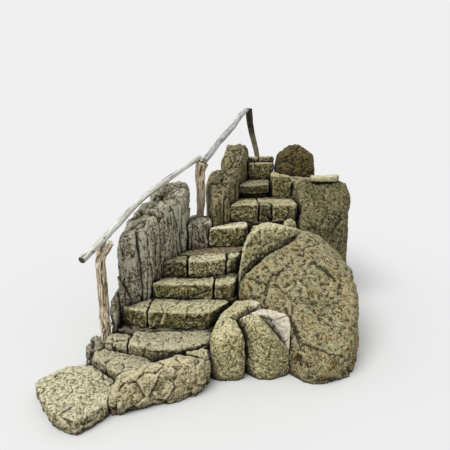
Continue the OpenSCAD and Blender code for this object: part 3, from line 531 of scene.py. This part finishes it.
# a darker copy of the step granite; on the sixth step's slab and wedge it is painted shade, for the shadow
# under the overhang
dark_granite = granite(
    "dark_copy_step_granite", pale=(0.13, 0.11, 0.050), middle=(0.034, 0.028, 0.010), dark=(0.010, 0.008, 0.003),
    top=(0.52, 0.47, 0.29), worn=0.75, lichen=0.05, moss=0.4, fineness=0.75)
buff_granite = granite(
    "buff_step_granite", pale=(0.58, 0.52, 0.29), middle=(0.26, 0.225, 0.10), dark=(0.050, 0.040, 0.015),
    top=(0.78, 0.73, 0.48), worn=1.0, lichen=0.2, moss=0.3, fineness=0.9)
sunlit_granite = granite(
    "sunlit_step_granite", pale=(0.46, 0.41, 0.18), middle=(0.140, 0.120, 0.040), dark=(0.034, 0.027, 0.009),
    top=(0.88, 0.82, 0.56), worn=1.5, lichen=0.2, moss=0.4)
# step3_right wears the paler ground granite: painted light, against the shadow of the shoulder rock that
# falls on it
STEP_STONES = [
    ("step1_left", step_granite), ("step1_right", step_granite), ("step2_left", step_granite),
    ("step2_right", step_granite), ("step3_left", dark_granite), ("step3_centre", buff_granite),
    ("step3_right", ground_granite), ("step4_block", sunlit_granite), ("step5_left", upper_granite),
    ("step5_right", dark_granite), ("step5_slab", upper_granite), ("step6_slab", dark_granite),
    ("step6_wedge", dark_granite), ("step7_block", upper_granite), ("head_left", buff_granite),
    ("head_right", buff_granite), ("cheek_block", upper_granite), ("side_stone_low", step_granite),
    ("side_stone_high", buff_granite)]
STEP_CRACKS = {"step2_left": [groove((0.998, 1.010, 0.575), (1.197, 1.010, 0.655), width=0.018, depth=0.022)]}
for number, (node, finish) in enumerate(STEP_STONES, start=10):
    face = rock_face(lump=0.006, split=0.014, grit=0.006, split_size=0.15, shift=number, chip=0.035)
    weathered(node, finish, face, cell=0.008, cracks=STEP_CRACKS.get(node, ()))

# Loose stones piled against the great boulder.
# Buff field stones thrown up beside the landing, two of them with clean broken ends.
# The grain of a new break is paler, and has had no time to grow lichen; the pale ends are also painted light,
# against the shadow that falls on them.
pile_granite = granite(
    "pile_granite", pale=(0.72, 0.66, 0.37), middle=(0.37, 0.325, 0.145), dark=(0.130, 0.108, 0.043),
    top=(0.80, 0.74, 0.46), worn=0.8, lichen=0.3, moss=0.1, lit_broken_end=(0.88, 0.80, 0.64))
# where along x the broken end, paler and painted light, begins on each stone, and where it is full
LIT_BROKEN_ENDS = {"pile_long": (1.60, 1.66), "pile_back": (0.0, 0.1)}
for number, node in enumerate(["pile_long", "pile_back", "pile_front", "pile_left"], start=40):
    face = rock_face(lump=0.005, split=0.012, grit=0.005, split_size=0.14, shift=number)
    stone = weathered(node, pile_granite, face, cell=0.007)
    if node in LIT_BROKEN_ENDS:
        begins, full = LIT_BROKEN_ENDS[node]
        points, _ = points_and_normals(stone)
        mark_points(stone, "broken_end_lit", np.clip((points[:, 0] - begins) / (full - begins), 0, 1))

# Rock at the right of the flight.
# Great rounded boulders of the hillside itself, with pale lichen on their crowns.
# The greatest is split by old cracks that run down its face.
flank_granite = granite(
    "boulder_granite", pale=(0.56, 0.50, 0.27), middle=(0.245, 0.212, 0.090), dark=(0.055, 0.045, 0.017),
    top=(0.62, 0.57, 0.35), worn=0.4, lichen=0.4, moss=0.3, ochre=0.45, fineness=1.35)
ledge_granite = granite(
    "ledge_granite", pale=(0.38, 0.34, 0.17), middle=(0.135, 0.116, 0.046), dark=(0.026, 0.021, 0.008),
    top=(0.26, 0.235, 0.125), worn=0.4, lichen=0.35, moss=0.45, fineness=0.8)
brown_granite = granite(
    "brown_boulder_granite", pale=(0.19, 0.138, 0.050), middle=(0.074, 0.052, 0.016),
    dark=(0.016, 0.012, 0.004), top=(0.18, 0.14, 0.060), worn=0.3, lichen=0.08, moss=0.3, fineness=0.75)
# flank_slab wears the paler pile granite: painted light, against the shade on its left face
BOULDERS = [("flank_boulder", flank_granite), ("flank_slab", pile_granite), ("ledge_rock", ledge_granite),
            ("ledge_slab", buff_granite), ("shoulder_rock", flank_granite), ("head_rock", brown_granite)]
BOULDER_CRACKS = {"flank_boulder": [
    groove((2.361, 1.158, 0.914), (2.535, 0.983, 0.781), width=0.035, depth=0.035),
    groove((1.966, 0.751, 0.569), (2.003, 0.658, 0.506), width=0.030, depth=0.030),
    groove((2.003, 0.658, 0.506), (2.086, 0.402, 0.290), width=0.026, depth=0.024),
    groove((1.800, 0.949, 0.715), (1.755, 0.800, 0.600), width=0.030, depth=0.032)]}
for number, (node, finish) in enumerate(BOULDERS, start=50):
    face = rock_face(lump=0.016, split=0.024, grit=0.010, split_size=0.40, shift=number)
    weathered(node, finish, face, cell=0.014, cracks=BOULDER_CRACKS.get(node, ()), rounding=3)

# Standing rock at the left of the flight.
# Upright columns of coarse, fissured granite, grey with lichen and dark in their clefts.
# The two bank rocks behind them are greener and carry less lichen.
column_granite = granite(
    "column_granite", pale=(0.66, 0.61, 0.45), middle=(0.27, 0.240, 0.150), dark=(0.040, 0.032, 0.018),
    top=(0.50, 0.47, 0.33), worn=0.4, lichen=0.8, moss=0.15, ochre=0.12, stretch=0.85, relief=1.2)
bank_granite = granite(
    "bank_granite", pale=(0.46, 0.40, 0.21), middle=(0.165, 0.140, 0.064), dark=(0.028, 0.022, 0.009),
    top=(0.42, 0.38, 0.22), worn=0.35, lichen=0.35, moss=0.4, stretch=0.85, relief=1.2, fineness=0.85)
STANDING_ROCKS = [
    ("post_foot", column_granite), ("left_strip", column_granite), ("column_1", column_granite),
    ("column_2", column_granite), ("column_3", column_granite), ("post_pier", column_granite),
    ("bank_rock", bank_granite), ("upper_bank", bank_granite)]
for number, (node, finish) in enumerate(STANDING_ROCKS, start=60):
    face = rock_face(lump=0.014, split=0.032, grit=0.010, split_size=0.22, grain=(1, 1, 0.3),
                     shift=number, cleft=0.026)
    weathered(node, finish, face, cell=0.012, rounding=2)

# Packing under the treads.
# Rubble and hard earth, thrown in behind each course as the flight was laid.
rubble = granite(
    "rubble_packing", pale=(0.34, 0.31, 0.20), middle=(0.155, 0.135, 0.075), dark=(0.040, 0.033, 0.018),
    top=(0.26, 0.22, 0.14), worn=0.5, lichen=0.15, moss=0.3)


def rubble_face(size, depth):
    """depth of a heap of flattish stones of this size, with sunk joints between them"""
    flat = Vector((1, 1, 1.5))

    def depth_at(p, n):
        distances, _ = noise.voronoi(p * flat / size)
        joint = min(1.0, (distances[1] - distances[0]) * 3.2)
        return depth * (joint ** 0.6 - 1) + 0.004 * noise.fractal(p * 22, 0.9, 2, 3) - 0.004

    return depth_at


for node in ("hearting_low", "hearting_mid", "hearting_high"):
    weathered(node, rubble, rubble_face(size=0.17, depth=0.026), cell=0.018, kind="rubble", share=0.4)

# Trodden earth behind the third step.
# Hill soil packed level with the stones, full of grit, bits of bark and small pebbles.
earth = granite(
    "packed_earth", pale=(0.44, 0.36, 0.21), middle=(0.23, 0.175, 0.095), dark=(0.075, 0.055, 0.030),
    top=(0.40, 0.33, 0.20), worn=0.5, lichen=0.1, moss=0.1)
trodden = rock_face(lump=0.008, split=0.004, grit=0.009, split_size=0.08, shift=80)
weathered("packed_tread", earth, trodden, cell=0.009, rounding=2, kind="earth")

# Posts and hand rail.
# Bare crooked branches: bleached, cracked rails notched over posts that keep some of their bark.
HEART_STOPS, RING_REACH = 30, 0.01
NAIL_SIZE = 0.010


def key_of(point):
    """a point's place, rounded so that it finds its own row again"""
    return tuple(round(x, 6) for x in point)


def follow_branch(piece, nails):
    """lays the wood's own coordinates along a bent branch: place across it, and length along its heart"""
    points, normals = points_and_normals(piece)
    run = points.max(axis=0) - points.min(axis=0)
    is_rail = max(run[:2]) > 0.5 * run[2]
    lengthwise = Vector(run).normalized() if is_rail else Vector((0, 0, 1))
    sideways = lengthwise.cross(Vector((0, 1, 0))).normalized()
    axes = np.array([sideways, lengthwise.cross(sideways), lengthwise])
    along = points @ axes[2]
    stops = np.linspace(along.min(), along.max(), HEART_STOPS)
    middles = (stops[:-1] + stops[1:]) / 2
    heart = []
    for low, high in zip(stops[:-1], stops[1:]):
        ring = points[(along >= low - RING_REACH) & (along <= high + RING_REACH)]
        heart.append((ring.min(axis=0) + ring.max(axis=0)) / 2)
    heart = np.array(heart)
    heart[1:-1] = (heart[:-2] + heart[1:-1] * 2 + heart[2:]) / 4
    tangent = np.gradient(heart, axis=0)
    tangent /= np.linalg.norm(tangent, axis=1)[:, None]

    def at_each_point(rows):
        """what rows says of the heart, at the height of each point"""
        return np.array([np.interp(along, middles, rows[:, k]) for k in range(3)]).T

    away = points - at_each_point(heart)
    woody = np.stack([away @ axes[0], away @ axes[1], along - along.min()], axis=1)
    facing = np.abs(np.einsum("ij,ij->i", normals, at_each_point(tangent)))
    near_an_end = (along < stops[2]) | (along > stops[-3])
    sawn = np.clip((facing - 0.62) / 0.2, 0, 1) * near_an_end
    for nail in nails:
        sawn = np.maximum(sawn, np.clip(1.6 - np.linalg.norm(points - nail, axis=1) / NAIL_SIZE, 0, 1))
    mark_points(piece, "wood_grain", woody, "FLOAT_VECTOR", "vector")
    mark_points(piece, "sawn_end", sawn)
    return {key_of(p): w for p, w in zip(points, woody)}


def bark_face(woody, ridges, knots=0.004, wander=0.003):
    """depth of weathered wood: long ridges and drying cracks that run with the grain"""

    def depth_at(p, n):
        u, v, t = woody[key_of(p)]
        grain = noise.fractal(Vector((u * 55, v * 55, t * 4)), 0.9, 2.1, 3)
        split = abs(noise.noise(Vector((u * 26 + 5, v * 26, t * 1.7))))
        knot = noise.noise(Vector((u * 9, v * 9, t * 6)))
        bend = noise.noise(Vector((3, 7, t * 3.1)))
        return ridges * grain - ridges * max(0.0, 1 - split / 0.09) + knots * knot + wander * bend

    return depth_at


DRYING_CHECK = (0.05, 0.04, 0.03)


def branch_wood(name, length, bare, shade, bark, bark_share, foot_end, top_end, fade=None):
    """weathered wood: fibres, streaks and drying cracks, bark where it still holds, and sawn ends"""
    material, tree, shader = empty_material(name, specular=0.3)
    woody = point_value(tree, "wood_grain")["Vector"]

    def drawn_noise(draw, scale, detail, rough, twist=0.0):
        """noise drawn out along the branch, longer as draw gets smaller"""
        node = tree.nodes.new("ShaderNodeMapping")
        node.inputs["Scale"].default_value = (1, 1, draw)
        tree.links.new(woody, node.inputs["Vector"])
        return noise_of(tree, node.outputs[0], scale, detail, rough, twist)

    parts = tree.nodes.new("ShaderNodeSeparateXYZ")
    tree.links.new(woody, parts.inputs[0])
    along = parts.outputs["Z"]
    fibre = drawn_noise(0.06, 130.0, detail=4, rough=0.7)
    colour = blend_colour(tree, between(tree, fibre, 0.38, 0.62), opaque(shade), opaque(bare))
    streak = between(tree, drawn_noise(0.07, 44.0, detail=4, rough=0.65), 0.40, 0.50, start=0.85, end=0.0)
    colour = blend_colour(tree, streak, colour, opaque(shade))
    flake = between(tree, drawn_noise(0.2, 70.0, detail=5, rough=0.75), 0.42, 0.60)
    flaky = blend_colour(tree, flake, opaque(bark, 0.3), opaque(bark))
    barked = drawn_noise(0.2, 24.0, detail=5, rough=0.7)
    barked = between(tree, barked, 0.66 - bark_share * 0.32, 0.71 - bark_share * 0.32)
    colour = blend_colour(tree, barked, colour, flaky)
    if fade:
        low_down = between(tree, along, length * 0.62, length * 0.38)
        faded = blend_colour(tree, fibre, opaque(fade, 0.4), opaque(fade))
        colour = lay_over(tree, low_down, 0.6, colour, faded)
    crack = between(tree, drawn_noise(0.05, 85.0, detail=3, rough=0.6, twist=0.3), 0.585, 0.64)
    colour = lay_over(tree, crack, 0.85, colour, opaque(shade, 0.2))
    towards_top = between(tree, along, length * 0.45, length * 0.55)
    end_colour = blend_colour(tree, towards_top, opaque(foot_end), opaque(top_end))
    end_check = between(tree, noise_of(tree, woody, 120.0, detail=3, rough=0.7), 0.5, 0.62)
    end_colour = blend_colour(tree, end_check, end_colour, opaque(DRYING_CHECK))
    colour = blend_colour(tree, point_value(tree, "sawn_end")["Fac"], colour, end_colour)
    tree.links.new(colour, shader["Base Color"])
    shader["Roughness"].default_value = 0.8
    height = maths(tree, "MULTIPLY_ADD", fibre, 0.5, maths(tree, "MULTIPLY", barked, 0.8))
    raise_bumps(tree, maths(tree, "SUBTRACT", height, crack), 0.007, shader)
    return material


def lay_branch(node, ridges, nails=(), **wood):
    """one weathered branch over its CAD node"""
    branch = merged_copy(node, node + "_branch")
    even_cells(branch, cell=0.005, rounding=2)
    woody = follow_branch(branch, nails)
    carve(branch, bark_face(woody, ridges))
    spare_faces(branch, share=0.6)
    length = float(max(place[2] for place in woody.values()))
    dress(branch, node, branch_wood(node + "_wood", length, **wood))


RAIL_BARK = (0.28, 0.24, 0.19)
BURIED_END = (0.4, 0.3, 0.2)
lay_branch(
    "rail_low", ridges=0.003, nails=[(0.191, 0.695, 1.330), (0.142, 0.521, 1.245)],
    bare=(0.80, 0.80, 0.74), shade=(0.42, 0.42, 0.37), bark=RAIL_BARK, bark_share=-0.2,
    foot_end=(0.06, 0.05, 0.035), top_end=(0.66, 0.62, 0.52))
lay_branch(
    "rail_high", ridges=0.003,
    bare=(0.62, 0.64, 0.61), shade=(0.28, 0.28, 0.26), bark=RAIL_BARK, bark_share=0.0,
    foot_end=(0.50, 0.48, 0.42), top_end=(0.06, 0.05, 0.04))
lay_branch(
    "post_low", ridges=0.008,
    bare=(0.90, 0.82, 0.63), shade=(0.22, 0.145, 0.075), bark=(0.15, 0.09, 0.040), bark_share=0.26,
    foot_end=BURIED_END, top_end=(0.85, 0.80, 0.68))
lay_branch(
    "post_mid", ridges=0.008,
    bare=(0.88, 0.79, 0.60), shade=(0.28, 0.19, 0.11), bark=(0.22, 0.11, 0.055), bark_share=0.42,
    foot_end=BURIED_END, top_end=(0.05, 0.04, 0.03), fade=(0.62, 0.52, 0.36))
lay_branch(
    "post_top", ridges=0.008,
    bare=(0.17, 0.145, 0.095), shade=(0.060, 0.050, 0.030), bark=(0.050, 0.040, 0.024), bark_share=0.7,
    foot_end=(0.3, 0.25, 0.2), top_end=(0.04, 0.035, 0.03), fade=(0.50, 0.41, 0.25))

# Pale floor, backdrop, light and camera.
# A plain studio set: the object stands on a matt floor under a broad soft sky.
FLOOR_GREY = (0.62, 0.62, 0.62)
bpy.ops.mesh.primitive_plane_add(size=60, location=(0, 20, 0))
floor = bpy.context.active_object
floor.name = "floor"
floor_paint, _, floor_shader = empty_material("floor_paint", specular=0.5)
floor_shader["Base Color"].default_value = opaque(FLOOR_GREY)
floor_shader["Roughness"].default_value = 0.9
floor.data.materials.append(floor_paint)

SKY_ON_OBJECT, SKY_TO_CAMERA = 0.75, 0.93
world = bpy.data.worlds.new("soft_sky")
bpy.context.scene.world = world
world.use_nodes = True
sky = world.node_tree
backdrop = sky.nodes["Background"]
backdrop.inputs["Color"].default_value = (0.93, 0.93, 0.93, 1)
seen = sky.nodes.new("ShaderNodeLightPath").outputs["Is Camera Ray"]
sky_strength = between(sky, seen, 0.0, 1.0, start=SKY_ON_OBJECT, end=SKY_TO_CAMERA)
sky.links.new(sky_strength, backdrop.inputs["Strength"])

SUN_TURN, SUN_SPREAD = (22, -24, 0), 40
sun = bpy.data.lights.new("key_light", "SUN")
sun.energy = 2.6
sun.angle = math.radians(SUN_SPREAD)
lamp = bpy.data.objects.new("key_light", sun)
bpy.context.scene.collection.objects.link(lamp)
lamp.rotation_euler = [math.radians(turn) for turn in SUN_TURN]

CAMERA_PLACE = (1.35, -2.55, 2.228)
CAMERA_PITCH = 13.34
PHOTO_WIDTH = 450
FOCAL_PIXELS = 350
lens = bpy.data.cameras.new("camera")
lens.sensor_width = 36
lens.lens = lens.sensor_width * FOCAL_PIXELS / PHOTO_WIDTH
lens.clip_end = 200
camera = bpy.data.objects.new("camera", lens)
bpy.context.scene.collection.objects.link(camera)
camera.location = CAMERA_PLACE
camera.rotation_euler = (math.radians(90 - CAMERA_PITCH), 0, 0)
bpy.context.scene.camera = camera

bpy.context.scene.view_settings.view_transform = "Standard"
